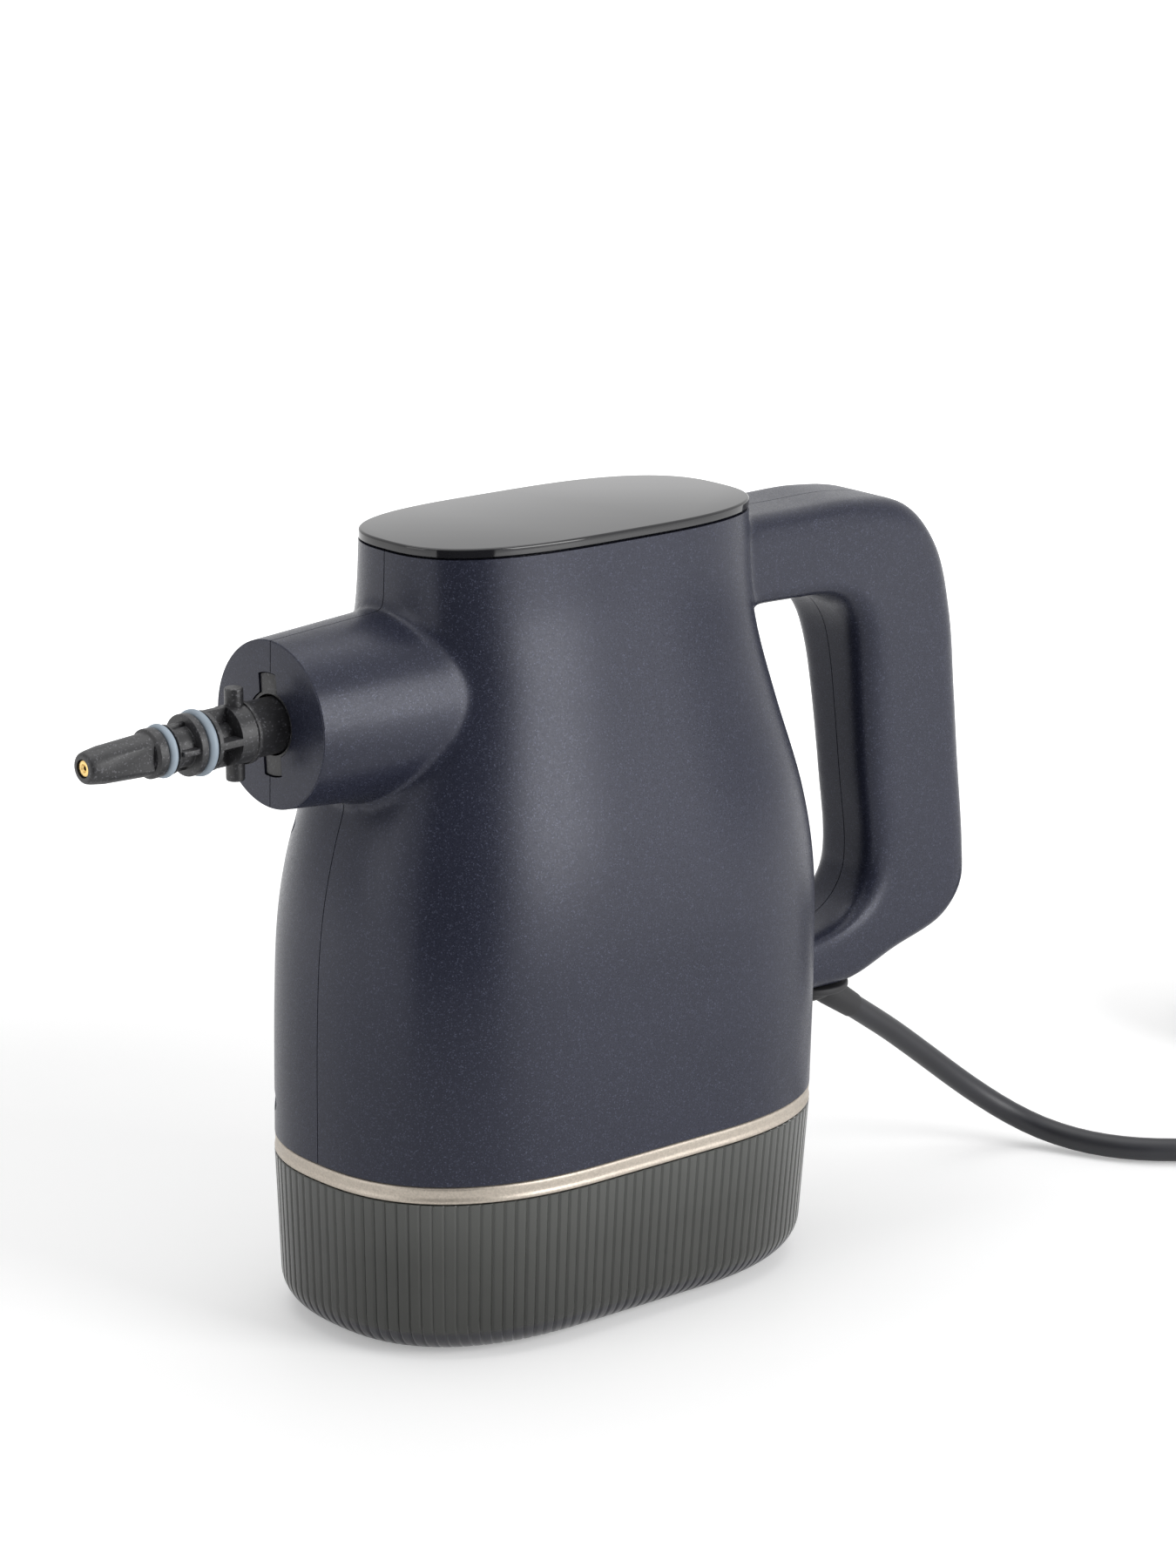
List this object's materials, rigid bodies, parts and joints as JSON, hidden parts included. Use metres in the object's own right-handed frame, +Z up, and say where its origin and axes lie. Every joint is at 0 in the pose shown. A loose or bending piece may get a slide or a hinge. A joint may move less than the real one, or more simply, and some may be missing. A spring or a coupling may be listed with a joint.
{
  "type": "handheld wallpaper steamer",
  "caption": "Upright handheld steamer with fluted water tank base, bayonet steam nozzle on a short spout, closed loop handle and corded plug.",
  "frame": {"origin": "centre of the water tank's flat underside, on the plane where the two body shells part", "axes": "+X towards the handle, -X out through the nozzle; +Z up; +Y to the filler flap's side; -Y to the plain side"},
  "size_m": [0.6777, 0.1296, 0.24],
  "materials": {
    "body_paint": "satin navy-charcoal coating with a fine metallic fleck",
    "gloss_black": "high-gloss black touch panel",
    "champagne": "satin champagne metallised plastic",
    "smoky_clear": "translucent smoky grey-green plastic",
    "black_plastic": "black glass-filled plastic",
    "seal_blue_grey": "blue-grey silicone rubber",
    "rubber_black": "matt black rubber",
    "brass": "plain brass",
    "cast_aluminium": "die-cast",
    "steel": "bright steel",
    "silicone": "translucent silicone",
    "white_plastic": "off-white plastic",
    "board_green": "green lacquered circuit board",
    "cord_black": "satin dark grey flexible cord sheath",
    "plug_black": "moulded black plug"
  },
  "bodies": {
    "housing": {"left_shell": "body_paint", "right_shell": "body_paint", "top_panel": "gloss_black", "control_board": "board_green", "trim_ring": "champagne", "water_tank": "smoky_clear", "tank_lid": "black_plastic", "tank_seal": "rubber_black", "filler_neck": "black_plastic", "flap_hinge_pin": "steel", "nozzle": "black_plastic", "nozzle_seal_large": "seal_blue_grey", "nozzle_seal_small": "seal_blue_grey", "steam_jet": "brass", "nozzle_mount": "black_plastic", "steam_pipe": "steel", "boiler_base": "cast_aluminium", "boiler_gasket": "silicone", "boiler_cover": "cast_aluminium", "boiler_cradle": "steel", "heating_element": "steel", "thermostat": "white_plastic", "thermal_fuse": "white_plastic", "pump_coil": "black_plastic", "pump_yoke": "steel", "pump_tube": "white_plastic", "pump_inlet": "white_plastic", "pump_foot_front": "rubber_black", "pump_foot_rear": "rubber_black", "suction_hose": "silicone", "intake_filter": "white_plastic", "delivery_hose": "silicone", "terminal_block": "white_plastic", "inner_lead": "cord_black", "board_lead": "white_plastic", "heater_lead": "silicone", "shell_screw_1": "steel", "shell_screw_2": "steel", "shell_screw_3": "steel", "shell_screw_4": "steel", "shell_screw_5": "steel", "shell_screw_6": "steel", "shell_screw_7": "steel", "cord_gland": "rubber_black", "strain_relief": "rubber_black", "power_cord": "cord_black", "cord_coil": "cord_black", "cord_end": "cord_black", "cord_tie": "rubber_black", "plug_sleeve": "plug_black", "plug_body": "plug_black", "plug_fuse_carrier": "plug_black", "plug_pin_earth": "brass", "plug_pin_neutral": "brass", "plug_pin_live": "brass"},
    "flap": {"filler_flap": "body_paint", "filler_bung": "rubber_black"},
    "plunger": {"pump_plunger": "steel"}
  },
  "joints": [
    {"name": "flap_hinge", "type": "hinge", "parent": "housing", "child": "flap", "pos_m": [-0.022, 0.05041, 0.101], "axis": [0, 0, -1], "range_deg": [0, 95]},
    {"name": "plunger_slide", "type": "slide", "parent": "housing", "child": "plunger", "axis": [1, 0, 0], "range_m": [-0.0015, 0.0015], "stiffness_N_per_m": 200}
  ]
}
